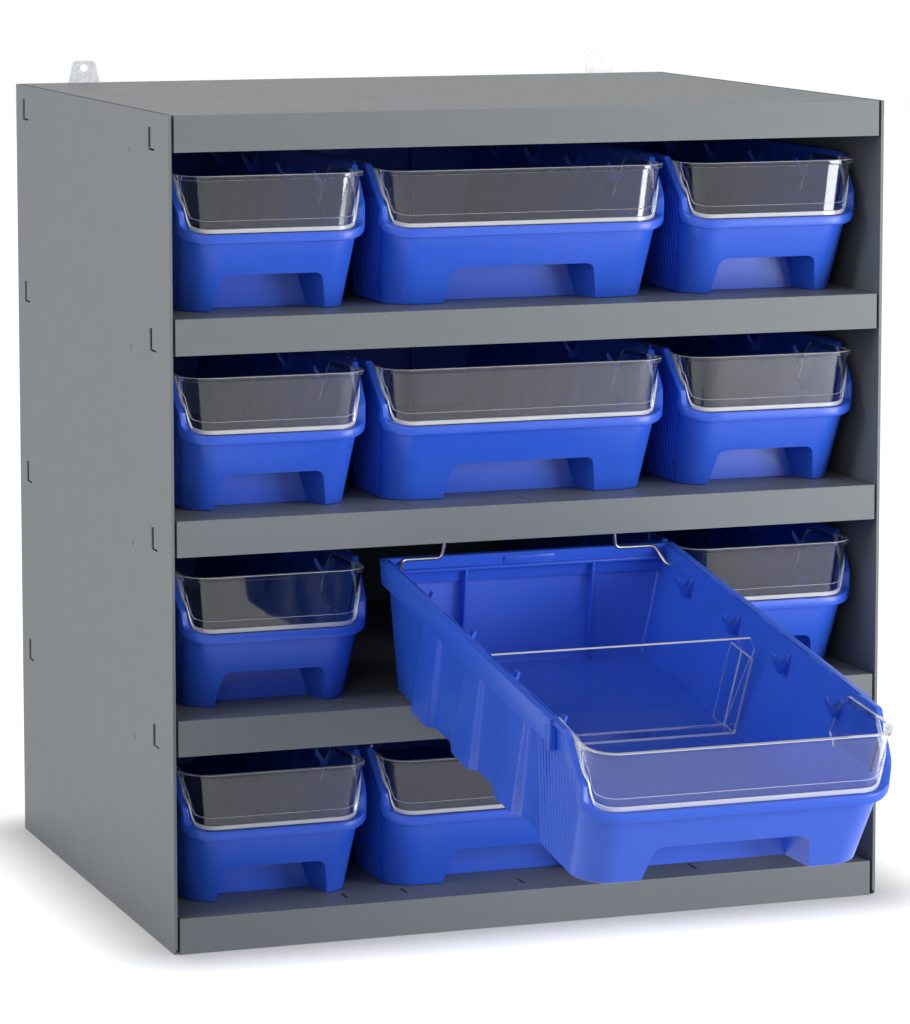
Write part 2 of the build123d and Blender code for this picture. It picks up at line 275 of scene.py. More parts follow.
# Hooked tabs of the shelves: where their upright ends are, down from the shelf's top, and their trim.
tab_front = 421.4
tab_back = 25.4
tab_high = 11.6
tab_low = 28.0
tab_root = 295.0
tab_slack = 1.0
tab_trim = 4.2

# Rivets of the wall lugs. The profile gives share of the height and share of the radius.
rivet_radius = 3.0
rivet_high = 1.2
rivet_apart = 8.0
rivet_rise = 7.0
rivet_sides = 20
rivet_profile = ((-0.2, 1.0), (0.3, 1.0), (0.62, 0.93), (0.9, 0.72), (1.0, 0.38), (1.02, 0.0))

# Colours are linear. Most finishes vary between two close shades, as a signal goes from low to high.
signal_low = 0.3
signal_high = 0.7
paint_grey = (0.147, 0.161, 0.171)
paint_shades = (0.150, 0.165, 0.176), (0.154, 0.169, 0.180)
zinc_grey = (0.86, 0.88, 0.90)
zinc_shades = (0.80, 0.82, 0.85), (0.90, 0.92, 0.95)
spangles = 420.0
bin_blue = (0.025, 0.099, 0.61)
blue_shades = (0.024, 0.096, 0.59), (0.026, 0.102, 0.63)
clear_tone = (0.96, 0.98, 1.0)
# Whitish tone of beads and cut edges of clear plastic, a painted highlight.
rim_highlight_tone = (0.97, 0.985, 1.0)
wire_grey = (0.36, 0.365, 0.37)
plastic_ior = 1.45
pane_passes = 0.9
rim_passes = 0.8

# Floor and world. The floor glows only away from the footprint, so that the ground round the cabinet's foot
# stays darker: a painted shadow there, added to the shadow that the lamps cast. The footprint and the width
# over which the glow sets in are in metres.
floor_half = 9000.0
floor_grey = (0.8, 0.8, 0.8)
footprint_centre = (0, -0.238, 0)
footprint_half = (0.28, 0.22, 0)
shadow_fade = 0.12
floor_glow = 0.75
world_shown = 1.0
world_light = 0.4

# Lamps: place, aim and size in metres, power in watts.
lamps = {
    "key": ((2.4, -3.2, 1.7), (0.1, -0.4, 0.3), 1.6, 27.0),
    "side": ((-1.8, -0.8, 1.1), (-0.3, -0.24, 0.5), 1.0, 15.0),
    "low": ((1.4, -1.9, 0.4), (0.3, -0.5, 0.0), 0.8, 27.0),
    "left": ((-1.7, -3.4, 1.3), (0, -0.4, 0.3), 1.0, 9.0),
}

# Camera, from the photograph's lines. Its focus is in pixels of an image that is image_long high.
image_long = 1024.0
camera_place = (-1224.6, -3713.5, 861.9)
camera_yaw = 19.66
camera_pitch = 7.07
camera_focus = 4411.0
camera_shift = -0.12
sensor = 36.0


# Materials.


def new_material(name, colour, roughness, **sockets):
    """A principled material with constant values on the shader's own sockets."""
    material = bpy.data.materials.new(name)
    material.use_nodes = True
    shader = material.node_tree.nodes["Principled BSDF"]
    shader.inputs["Base Color"].default_value = (*colour, 1)
    shader.inputs["Roughness"].default_value = roughness
    for socket, value in sockets.items():
        shader.inputs[socket.replace("_", " ")].default_value = value
    return material, material.node_tree, shader


def noise(tree, cycles, detail=2.0):
    """Noise over the object's own coordinates, in cycles per metre."""
    place = tree.nodes.new("ShaderNodeTexCoord")
    cloud = tree.nodes.new("ShaderNodeTexNoise")
    cloud.inputs["Scale"].default_value = cycles
    cloud.inputs["Detail"].default_value = detail
    tree.links.new(place.outputs["Object"], cloud.inputs["Vector"])
    return cloud.outputs["Fac"]


def spread(tree, value, low, high):
    """Maps a signal onto low to high."""
    ranged = tree.nodes.new("ShaderNodeMapRange")
    ranged.inputs["From Min"].default_value = signal_low
    ranged.inputs["From Max"].default_value = signal_high
    ranged.inputs["To Min"].default_value = low
    ranged.inputs["To Max"].default_value = high
    tree.links.new(value, ranged.inputs["Value"])
    return ranged.outputs["Result"]


def tint(tree, value, shades):
    """Colour that follows a signal between two shades."""
    ramp = tree.nodes.new("ShaderNodeValToRGB")
    for element, position, shade in zip(ramp.color_ramp.elements, (signal_low, signal_high), shades):
        element.position = position
        element.color = (*shade, 1)
    tree.links.new(value, ramp.inputs["Fac"])
    return ramp.outputs["Color"]


def add_bump(tree, shader, value, strength, distance):
    """Fine relief on the surface. distance is in metres."""
    bump = tree.nodes.new("ShaderNodeBump")
    bump.inputs["Strength"].default_value = strength
    bump.inputs["Distance"].default_value = distance
    tree.links.new(value, bump.inputs["Height"])
    tree.links.new(bump.outputs["Normal"], shader.inputs["Normal"])


def painted_steel():
    """Satin grey powder coat with a fine orange peel."""
    material, tree, shader = new_material(
        "painted_steel", paint_grey, roughness=0.45, Specular_IOR_Level=0.3
    )
    rough = spread(tree, noise(tree, cycles=40.0), low=0.44, high=0.47)
    tree.links.new(tint(tree, noise(tree, cycles=3.0), paint_shades), shader.inputs["Base Color"])
    tree.links.new(rough, shader.inputs["Roughness"])
    add_bump(tree, shader, noise(tree, cycles=900.0, detail=3.0), strength=0.06, distance=0.0001)
    return material


def galvanised_steel():
    """Zinc coat with a faint spangle."""
    material, tree, shader = new_material("galvanised_steel", zinc_grey, roughness=0.5, Metallic=0.4)
    place = tree.nodes.new("ShaderNodeTexCoord")
    cells = tree.nodes.new("ShaderNodeTexVoronoi")
    cells.inputs["Scale"].default_value = spangles
    tree.links.new(place.outputs["Object"], cells.inputs["Vector"])
    grey = tree.nodes.new("ShaderNodeRGBToBW")
    tree.links.new(cells.outputs["Color"], grey.inputs["Color"])
    tree.links.new(tint(tree, grey.outputs["Val"], zinc_shades), shader.inputs["Base Color"])
    tree.links.new(spread(tree, grey.outputs["Val"], low=0.32, high=0.5), shader.inputs["Roughness"])
    return material


def blue_plastic():
    """Moulded plastic, semi-gloss, with a very fine grain."""
    material, tree, shader = new_material("bin_plastic", bin_blue, roughness=0.33, Specular_IOR_Level=0.4)
    rough = spread(tree, noise(tree, cycles=60.0), low=0.28, high=0.38)
    tree.links.new(tint(tree, noise(tree, cycles=9.0), blue_shades), shader.inputs["Base Color"])
    tree.links.new(rough, shader.inputs["Roughness"])
    add_bump(tree, shader, noise(tree, cycles=1600.0), strength=0.05, distance=0.0001)
    return material


def light_path(tree, *names):
    """1 for the named kinds of ray, 0 for others."""
    path = tree.nodes.new("ShaderNodeLightPath")
    total = path.outputs[names[0]]
    for name in names[1:]:
        adding = tree.nodes.new("ShaderNodeMath")
        adding.operation = "MAXIMUM"
        tree.links.new(total, adding.inputs[0])
        tree.links.new(path.outputs[name], adding.inputs[1])
        total = adding.outputs[0]
    return total


def let_light_in(tree, shader, tone):
    """Clear plastic lets lamps and daylight through to what it covers."""
    through = tree.nodes.new("ShaderNodeBsdfTransparent")
    through.inputs["Color"].default_value = (tone, tone, tone, 1)
    mix = tree.nodes.new("ShaderNodeMixShader")
    tree.links.new(light_path(tree, "Is Shadow Ray", "Is Diffuse Ray"), mix.inputs["Fac"])
    tree.links.new(shader.outputs["BSDF"], mix.inputs[1])
    tree.links.new(through.outputs["BSDF"], mix.inputs[2])
    tree.links.new(mix.outputs["Shader"], tree.nodes["Material Output"].inputs["Surface"])


def clear_plastic():
    """Clear moulded plastic."""
    sockets = {"Transmission_Weight": 1.0, "IOR": plastic_ior}
    material, tree, shader = new_material("clear_plastic", clear_tone, roughness=0.03, **sockets)
    add_bump(tree, shader, noise(tree, cycles=25.0), strength=0.04, distance=0.0004)
    let_light_in(tree, shader, pane_passes)
    return material


def clear_edge_highlight():
    """Thick beads and cut edges of clear plastic, given a whitish, partly opaque finish: a painted highlight
    for the light they gather.
    """
    sockets = {"Transmission_Weight": 0.48, "IOR": plastic_ior, "Coat_Weight": 0.7}
    material, tree, shader = new_material("clear_edge_highlight", rim_highlight_tone, roughness=0.1, **sockets)
    rough = spread(tree, noise(tree, cycles=80.0), low=0.08, high=0.18)
    tree.links.new(rough, shader.inputs["Roughness"])
    let_light_in(tree, shader, rim_passes)
    return material


def zinc_wire():
    """Bright drawn wire."""
    material, tree, shader = new_material("zinc_wire", wire_grey, roughness=0.3, Metallic=1.0)
    rough = spread(tree, noise(tree, cycles=300.0), low=0.26, high=0.38)
    tree.links.new(rough, shader.inputs["Roughness"])
    return material


# Mesh helpers.


def mesh_from(name, points, faces, second=()):
    """Mesh of points in millimetres with consistent normals. second marks faces of the second material."""
    mesh = bpy.data.meshes.new(name)
    mesh.from_pydata([Vector(p) * MM for p in points], [], faces)
    for face, marked in zip(mesh.polygons, second):
        face.material_index = int(marked)
    work = bmesh.new()
    work.from_mesh(mesh)
    bmesh.ops.remove_doubles(work, verts=work.verts, dist=mesh_weld * MM)
    bmesh.ops.recalc_face_normals(work, faces=work.faces)
    work.to_mesh(mesh)
    work.free()
    return mesh


def smoothed(mesh, angle=smooth_angle):
    """Smooth shading, with edges above the angle kept sharp."""
    mesh.polygons.foreach_set("use_smooth", [True] * len(mesh.polygons))
    mesh.set_sharp_from_angle(angle=radians(angle))
    return mesh


def new_piece(name, shape, materials, body, place=None):
    """One piece that rides on a body and takes its finish from a slot."""
    piece = bpy.data.objects.new(name, shape)
    bpy.context.scene.collection.objects.link(piece)
    if not shape.materials:
        for material in materials:
            shape.materials.append(material)
    if place is not None:
        piece.matrix_world = place
    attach(piece, body)
    return piece


def evaluated(shape, kind=None, **settings):
    """Mesh of a curve or a mesh, after one modifier where a kind is given."""
    piece = bpy.data.objects.new("work", shape)
    bpy.context.scene.collection.objects.link(piece)
    if kind:
        modifier = piece.modifiers.new(kind, kind)
        for key, value in settings.items():
            setattr(modifier, key, value)
    graph = bpy.context.evaluated_depsgraph_get()
    result = bpy.data.meshes.new_from_object(piece.evaluated_get(graph))
    bpy.data.objects.remove(piece)
    return result


def combined(mesh, tool, operation):
    """The mesh after a boolean with a second mesh."""
    piece = bpy.data.objects.new("tool", tool)
    bpy.context.scene.collection.objects.link(piece)
    result = evaluated(mesh, "BOOLEAN", operation=operation, object=piece, solver="EXACT")
    bpy.data.objects.remove(piece)
    return result


def clamped(value):
    """The value, kept between 0 and 1."""
    return max(0.0, min(1.0, value))


def grid_faces(columns, count, closed):
    """Quads between neighbouring columns of count points each. closed joins last to first in a column."""
    faces = []
    for column in range(columns - 1):
        low, high = column * count, (column + 1) * count
        for row in range(count if closed else count - 1):
            after = (row + 1) % count
            faces.append((low + row, low + after, high + after, high + row))
    return faces


def mirrored(points, faces):
    """Points and faces with their mirror image across x = 0."""
    count = len(points)
    points = points + [(-x, y, z) for x, y, z in points]
    return points, faces + [tuple(count + index for index in reversed(face)) for face in faces]


def rounded(line, radius, steps=3):
    """The line with each inner corner eased by a short curve of steps + 1 points."""
    result = [line[0]]
    for before, corner, after in zip(line, line[1:], line[2:]):
        corner = Vector(corner)
        back, ahead = Vector(before) - corner, Vector(after) - corner
        start = corner + back.normalized() * min(radius, corner_share * back.length)
        end = corner + ahead.normalized() * min(radius, corner_share * ahead.length)
        for step in range(steps + 1):
            t = step / steps
            result.append(tuple(start * (1 - t) ** 2 + corner * 2 * t * (1 - t) + end * t ** 2))
    result.append(line[-1])
    return result


def merged(name, parts):
    """One mesh from several of points and faces."""
    points, faces = [], []
    for more_points, more_faces in parts:
        base = len(points)
        points += more_points
        faces += [tuple(base + index for index in face) for face in more_faces]
    return mesh_from(name, points, faces)


def joined(name, meshes):
    """One mesh from several finished ones, which may overlap."""
    whole = bmesh.new()
    for mesh in meshes:
        whole.from_mesh(mesh)
    result = bpy.data.meshes.new(name)
    whole.to_mesh(result)
    whole.free()
    return result


def box_parts(low, high):
    """Points and faces of a box between two corners."""
    points = [(x, y, z) for x in (low[0], high[0]) for y in (low[1], high[1]) for z in (low[2], high[2])]
    faces = [(0, 1, 3, 2), (4, 6, 7, 5), (0, 4, 5, 1), (2, 3, 7, 6), (0, 2, 6, 4), (1, 5, 7, 3)]
    return points, faces


def prism_parts(outline, low, high, turn):
    """Points and faces of an outline in two axes, pushed from low to high along the third."""
    points = [turn(a, b, level) for level in (low, high) for a, b in outline]
    count = len(outline)
    faces = grid_faces(2, count, closed=True)
    return points, faces + [tuple(range(count)), tuple(range(count, 2 * count))]


def eased(mesh, size, steps=2):
    """The mesh with its sharp edges rounded."""
    limit = radians(ease_angle)
    return evaluated(mesh, "BEVEL", width=size * MM, segments=steps, limit_method="ANGLE", angle_limit=limit)


# Bin shapes. Plans are lines of (x, u) on the right side, from the back centre to the front centre.


def pad_half(foot, v):
    """Half width outside the proud pads at height v."""
    return foot + draft * v


def top_half(foot):
    """Half width outside the rim."""
    return pad_half(foot, bin_high) + band_out


def front_half(x, u, radius):
    """Plan of the front: a corner whose outer tangents are x and u, then straight to the middle."""
    turns = [pi / 2 * step / corner_steps for step in range(corner_steps + 1)]
    arc = [(x - radius + radius * cos(turn), u - radius + radius * sin(turn)) for turn in turns]
    end = arc[-1][0]
    return arc + [(end * (1 - step / front_stations), u) for step in range(1, front_stations + 1)]


def wall_line(foot, v, inset=0.0):
    """Plan of the fluted wall at height v, moved inwards by inset."""
    fade = 1 - v / (flute_fade_inside if inset else flute_fade)
    pad = pad_half(foot, v) - inset
    groove = pad - flute_depth * fade
    back = back_wall if inset else 0.0
    side = [(0, back), (groove, back)]
    for count in range(flutes):
        front = first_pad_front + count * flute_pitch + flute_lean * v - inset / 2
        side.append((groove, front - pad_long - ramp_long * fade))
        side.append((pad, front - pad_long))
        side.append((pad, front))
        side.append((groove, front + step_long * fade))
    last = first_pad_front + flutes * flute_pitch + flute_lean * v - pad_long
    side.append((groove, last - ramp_long * fade))
    side.append((pad, last))
    front = front_half(pad, bin_long + front_lean * v - inset, front_corner - inset)
    line = rounded(side + [front[0]], flute_round)[:-1]
    start, end = line[-1][1], front[0][1]
    line += [(pad, start + (end - start) * step / pad_stations) for step in range(1, pad_stations)]
    return line + front


def edge_height(foot, x, u):
    """Height of the opening's edge above a point of the plan."""
    drop_end = rim_front + rim_drop_long
    if u < rim_front:
        return bin_high
    if u < drop_end:
        return bin_high - (bin_high - lip_top_high) * (u - rim_front) / rim_drop_long
    if u < lip_turn_u:
        share = (u - drop_end) / (lip_turn_u - drop_end)
        return lip_top_high + (lip_turn_high - lip_top_high) * share
    run, rise = lip_turn_in - lip_side_in, lip_turn_high - lip_high
    radius = (run * run + rise * rise) / (2 * rise)
    across = min(max(x - top_half(foot) + lip_turn_in, 0), run)
    return lip_high + radius - sqrt(radius * radius - across * across)


def at_height(lines, station, v):
    """Point of a station at height v. Each station is a straight line between height 0 and the rim."""
    share = v / bin_high
    (x0, u0), (x1, u1) = lines[0][station], lines[1][station]
    return Vector((x0 + (x1 - x0) * share, u0 + (u1 - u0) * share))


def outward(outer, inner, station):
    """Direction in plan from the inner to the outer face of the wall."""
    return (at_height(outer, station, middle_high) - at_height(inner, station, middle_high)).normalized()


def edge_heights(foot, lines):
    """Height of the opening's edge on each station of the wall, found by halving."""
    heights = []
    for station in range(len(lines[0])):
        low, high = lip_high - search_below, bin_high
        for _ in range(search_steps):
            middle = (low + high) / 2
            if edge_height(foot, *at_height(lines, station, middle)) > middle:
                low = middle
            else:
                high = middle
        heights.append(high)
    return heights


def tub_shell(foot, outer, inner, heights):
    """Fluted tub with a floor, hollow below it, open at the top and the front."""
    count = len(heights)
    ceiling = floor_high - floor_thick
    points = []
    for station, edge in enumerate(heights):
        top = edge - shell_short
        column = [(inner, ceiling, 0), (inner, foot_ease, 0), (inner, 0, foot_ease)]
        column += [(outer, 0, -foot_ease), (outer, foot_ease, 0)]
        column += [(outer, top * share, 0) for share in wall_levels]
        for lines, way in ((outer, -1), (inner, 1)):
            rim = [(lines, top - rim_ease, 0), (lines, top - rim_ease_mid, way * rim_ease_mid)]
            rim.append((lines, top, way * rim_ease))
            column += rim if lines is outer else reversed(rim)
        column += [
            (inner, floor_high + floor_fillet, 0),
            (inner, floor_high + floor_fillet_mid, -floor_fillet_mid),
            (inner, floor_high, -floor_fillet),
        ]
        out = outward(outer, inner, station)
        for lines, v, shift in column:
            x, u = at_height(lines, station, v) + out * shift
            points.append((0 if station in (0, count - 1) else max(x, 0), -u, v))
    high = len(column)
    points, faces = mirrored(points, grid_faces(count, high, closed=False))
    for end in (0, high - 1):
        ring = [station * high + end for station in range(count)]
        ring += [(count + station) * high + end for station in reversed(range(1, count - 1))]
        faces.append(tuple(ring))
    return mesh_from("tub_shell", points, faces)


def pull_block(foot, grow, top, front, lean):
    """Solid of the finger pull, with rounded top corners, grown outwards by grow. lean tips its front."""
    side = wide_pull_side if foot == wide_foot else narrow_pull_side
    low = 0.0 if grow else -pull_below
    back = bin_long - pull_deep - grow
    points = []
    for u, tip in ((back, 0.0), (front, lean)):
        slope = (bin_long - u) * pull_taper / pull_deep
        half_low, half_top = (foot - side - pull_narrowing * v / pull_high + grow - slope for v in (low, top))
        outline = rounded([(0, top), (half_top, top), (half_low, low), (0, low)], pull_round, pull_steps)
        outline = outline[: len(outline) // 2] + [(half_low, low), (0, low)]
        points += [(x, -(u + tip * v), v) for x, v in outline]
    count = len(points) // 2
    points, faces = mirrored(points, grid_faces(2, count, closed=False))
    for end in (0, 1):
        ring = [end * count + index for index in range(count)]
        ring += [(2 + end) * count + index for index in reversed(range(1, count - 1))]
        faces.append(tuple(ring))
    return mesh_from("pull", points, faces)


def band_parts(foot):
    """Rim band round the back and along the sides, with an eased lower edge and rim."""
    top = top_half(foot)
    low = top - band_flare - draft * (bin_high - band_low)
    section = [(deep, band_low + rise) for deep, rise in band_low_section]
    section += [(deep, bin_high + rise) for deep, rise in band_rim_section]
    stations = [("back", 0.0, 0.0)]
    stations += [("turn", pi / 2 * step / band_turn_steps, 0.0) for step in range(band_turn_steps + 1)]
    stations += [("side", band_first_side, 0.0), ("side", band_front - band_end_ease, 0.0)]
    stations += [("side", band_front - band_end_mid, band_end_mid), ("side", band_front, band_end_ease)]
    points = []
    for kind, place, shrink in stations:
        for deep, v in section:
            half = low + (top - low) * (v - band_low) / (bin_high - band_low) - shrink
            if kind == "side":
                points.append((half - deep, -place, v))
            elif kind == "turn":
                reach = band_corner - deep
                points.append((half - band_corner + reach * sin(place), reach * cos(place) - band_corner, v))
            else:
                points.append((0.0, -deep, v))
    count = len(section)
    faces = grid_faces(len(stations), count, closed=True)
    faces.append(tuple(range((len(stations) - 1) * count, len(stations) * count)))
    return mirrored(points, faces)


def lip_parts(outer, inner, heights):
    """Lip along the edge of the opening, from the rim to the middle of the front."""
    start = band_front - lip_start
    stations = [s for s in range(len(heights)) if at_height(outer, s, heights[s])[1] > start]
    edge = []
    for station in stations:
        x, u = at_height(outer, station, heights[station])
        edge.append(Vector((x, -u, heights[station])))
    points = []
    for index, (station, place) in enumerate(zip(stations, edge)):
        ahead = edge[min(index + 1, len(edge) - 1)] - edge[max(index - 1, 0)]
        flat = outward(outer, inner, station)
        out = Vector((flat.x, -flat.y, 0))
        down = ahead.normalized().cross(out).normalized()
        if down.z > 0:
            down = -down
        out = down.cross(ahead.normalized())
        if out.x * flat.x - out.y * flat.y < 0:
            out = -out
        aside = clamped((flat.x - lip_side_from) / lip_side_over)
        reach = lip_front_out + (lip_side_out - lip_front_out) * aside
        climb = clamped((place.z - lip_turn_high + lip_climb) / lip_climb)
        reach -= (reach - lip_slim_out) * climb
        wide = lip_wide - (lip_wide - lip_slim) * climb
        section = [
            (-lip_sunk, 0),
            (reach - lip_ease, 0),
            (reach - lip_ease_mid, lip_ease_mid),
            (reach, lip_ease),
            (reach + lip_crown, wide / 2),
            (reach, wide - lip_ease),
            (reach - lip_low_mid, wide - lip_ease_mid),
            (reach - lip_low_ease, wide),
            (-lip_sunk, wide),
        ]
        for across, deep in section:
            point = place + out * across + down * deep
            if index == len(edge) - 1:
                point.x = 0
            points.append(tuple(point))
    count = len(section)
    faces = grid_faces(len(edge), count, closed=True)
    faces.append(tuple(range(count)))
    return mirrored(points, faces)


def holder_parts(foot):
    """Forked divider holders along the inside of both walls."""
    inside = pad_half(foot, holder_level) - wall

    def turn(inward, v, level):
        return (inside - inward, -level, v)

    return [
        mirrored(*prism_parts(holder_outline, place - holder_thick / 2, place + holder_thick / 2, turn))
        for place in holder_places
    ]


def rib_parts(foot):
    """Fine upright ribs on the outside of the last pad, up to the rim band or the lip."""
    parts = []
    for count in range(ribs):
        place = rib_first + count * rib_pitch
        low = max(rib_low, (place - bin_long + front_corner) / front_lean)
        top = band_low + rib_under_band if place < band_front + rib_past_band else rib_top
        points = []
        for shift, rise in ((-rib_half, -rib_sunk), (0.0, rib_high), (rib_half, -rib_sunk)):
            points += [(pad_half(foot, v) + rise, -(place + shift), v) for v in (low, top)]
        parts.append(mirrored(points, [(0, 1, 3, 2), (2, 3, 5, 4), (0, 4, 5, 1)]))
    return parts


def stub_parts(foot):
    """Upright stubs at the front ends of the rim band."""
    front = -band_front - stub_ahead
    low = (pad_half(foot, stub_high) - stub_sunk, front, stub_low)
    high = (top_half(foot) - stub_within, front + stub_long, stub_high)
    return [mirrored(*box_parts(low, high))]


def ledge_parts(foot):
    """Ledge inside the back wall, the wire's keeper on it, and the strips that seat the wire."""
    back = -back_wall
    half = pad_half(foot, ledge_high) - flute_depth / 2
    strip_low = (half - seat_wide, back - seat_long, ledge_high - seat_thick)
    strip_high = (half + seat_sunk, back - seat_back, ledge_high)
    return [
        box_parts((-half, back - ledge_deep, ledge_high - ledge_thick), (half, back + overlap, ledge_high)),
        box_parts(
            (-keeper_half, back - keeper_thick, ledge_high - keeper_sunk),
            (keeper_half, back + overlap, ledge_high + keeper_high),
        ),
        mirrored(*box_parts(strip_low, strip_high)),
    ]


def gusset_parts(foot):
    """Two thin upright gussets that carry the ledge."""
    middle = gusset_share * foot
    low = (middle - gusset_thick / 2, -back_wall - ledge_deep, floor_high)
    high = (middle + gusset_thick / 2, overlap - back_wall, ledge_high)
    return [mirrored(*box_parts(low, high))]


def bin_mesh(foot):
    """The whole moulded bin."""
    outer, inner = ([wall_line(foot, v, inset) for v in (0, bin_high)] for inset in (0.0, wall))
    heights = edge_heights(foot, outer)
    shell = tub_shell(foot, outer, inner, heights)
    pull_wall = pull_block(foot, wall, pull_high + wall, bin_long - pull_wall_back, front_lean)
    pull_cut = pull_block(foot, 0, pull_high, bin_long + pull_cut_ahead, 0.0)
    shell = combined(combined(shell, pull_wall, "UNION"), pull_cut, "DIFFERENCE")
    pieces = [
        shell,
        eased(merged("stubs", stub_parts(foot)), stub_round, 3),
        eased(merged("ledge", ledge_parts(foot)), ledge_round),
        eased(merged("gussets", gusset_parts(foot)), gusset_round),
        eased(merged("holders", holder_parts(foot)), holder_round),
        merged("band", [band_parts(foot)]),
        merged("lip", [lip_parts(outer, inner, heights)]),
        merged("ribs", rib_parts(foot)),
    ]
    return smoothed(joined("bin", pieces))


# Window.


def glass_line(foot, v):
    """Outer plan of the window wall at height v, from the rear of its wing to the front centre."""
    half = pad_half(foot, v) - wall - glass_gap
    front = glass_front + draft * (v - lip_high)
    start = front - glass_corner
    line = []
    for step in range(wing_stations):
        u = wing_low_back + (start - wing_low_back) * step / wing_stations
        line.append((half - wing_pinch * (bin_long - u), u))
    return line + front_half(half - wing_pinch * (bin_long - start), front, glass_corner)


def glass_section(u, edge):
    """Section of the window at u, as heights and shifts outwards: up the outside, down the inside."""
    share = clamped((u - wing_low_back) / (wing_top_back - wing_low_back))
    tip = wing_low + wing_tip
    top = tip + (glass_high - tip) * min(1.0, share * wing_sweep) ** wing_curve
    low = wing_low + wing_chamfer * max(0.0, 1 - (u - wing_low_back) / wing_chamfer)
    if u > lip_turn_u - climb_back:
        low = edge
    slope = climb_stretch if rim_front < u < lip_turn_u - climb_front else 1.0
    bead = min(max(edge, low), top)
    roll = glass_roll_out * clamped((u - rim_front + glass_roll_back) / glass_roll_fade)
    roll_end = roll * (glass_roll_out - glass_top_ease) / glass_roll_out
    outside = [
        (low, 0.0),
        (max(low + glass_hair, bead - glass_hair), 0.0),
        (bead, 0.0),
        (bead + glass_bead_foot * slope, glass_bead_out),
        (bead + (glass_bead - glass_bead_ease) * slope, glass_bead_out),
        (bead + glass_bead * slope, glass_band_out),
        (bead + (glass_band - glass_band_ease) * slope, glass_band_out),
        (bead + glass_band * slope, 0.0),
        (top - glass_roll, 0.0),
        (top - glass_roll + glass_roll_ease, roll),
        (top - glass_roll_ease, roll),
        (top - glass_hair, roll_end),
    ]
    inside = [
        (top - glass_hair, glass_top_ease - glass),
        (top - glass_roll_ease, -glass),
        (top - glass_roll, -glass),
        (bead + glass_bead, -glass),
        (low, -glass),
    ]
    section, before = [], low
    for v, shift in outside:
        before = min(max(v, before), top)
        section.append((before, shift))
    return section + [(min(max(v, low), top), shift) for v, shift in inside]


def glass_mesh(foot):
    """The whole clear window."""
    pair = glass_line(foot, 0.0), glass_line(foot, bin_high)
    heights = edge_heights(foot, pair)
    last = len(heights) - 1
    points = []
    for station, height in enumerate(heights):
        section = glass_section(at_height(pair, station, glass_level)[1], height + glass_seat)
        after = at_height(pair, min(station + 1, last), glass_level)
        ahead = after - at_height(pair, max(station - 1, 0), glass_level)
        out = Vector((ahead[1], -ahead[0])).normalized()
        for v, shift in section:
            x, u = at_height(pair, station, v) + out * shift
            points.append((0 if station == last else x, -u, v))
    around = len(section)
    faces = grid_faces(len(heights), around, closed=True)
    # The listed rows and the wing's cut end take the whitish second finish, a painted highlight.
    white = [number % around in highlight_rows for number in range(len(faces))] + [True]
    faces.append(tuple(range(around)))
    points, faces = mirrored(points, faces)
    return smoothed(mesh_from("window", points, faces, white + white), window_smooth_angle)


# Wire stop.


def wire_mesh(foot):
    """Bent wire bail with rounded bends."""
    end = pad_half(foot, pivot_high) + pivot_seat - wall
    arm = pad_half(foot, pivot_high) - wall - wire_arm_in
    knee = arm - wire_run
    half = [
        (end, -pivot_back, pivot_high),
        (arm + wire_knee_out, -pivot_back, pivot_high),
        (arm, -wire_back, wire_arm_high),
        (knee, -wire_back, wire_arm_high),
        (knee - wire_top_in, -wire_back, wire_top),
    ]
    path = rounded(half + [(-x, y, z) for x, y, z in reversed(half)], wire_bend, wire_bend_steps)
    curve = bpy.data.curves.new("wire", "CURVE")
    curve.dimensions = "3D"
    curve.bevel_depth = wire_thick / 2 * MM
    curve.bevel_resolution = wire_sides
    curve.use_fill_caps = True
    spline = curve.splines.new("POLY")
    spline.points.add(len(path) - 1)
    for point, place in zip(spline.points, path):
        point.co = (*(Vector(place) * MM), 1)
    return smoothed(evaluated(curve))


# Cabinet and divider: the solids themselves, welded and with their folds and edges rounded.


def rivet_mesh():
    """Low dome head of a rivet, whose foot is in the plane y = 0 and whose top looks to the front."""
    points = []
    for lift, share in rivet_profile:
        for turn in range(rivet_sides):
            angle, radius = 2 * pi * turn / rivet_sides, rivet_radius * share
            points.append((radius * cos(angle), -rivet_high * lift, radius * sin(angle)))
    faces = grid_faces(len(rivet_profile), rivet_sides, closed=True) + [tuple(range(rivet_sides))]
    return smoothed(mesh_from("rivet", points, faces))


def show_slots(work, top):
    """Trims the hooked tabs of a shelf, so that the dark part of each slot behind them shows."""
    ends = {round(-tab_back), round(-tab_front)}
    low, high = top - tab_low - tab_slack, top - tab_high + tab_slack
    for corner in work.verts:
        x, y, z = (value / MM for value in corner.co)
        if abs(x) > tab_root and round(y) in ends and low < z < high:
            corner.co.y -= tab_trim * MM


def narrowest(face):
    """Area of a face over its longest side, which is about its width."""
    return face.calc_area() / max(side.calc_length() for side in face.edges)


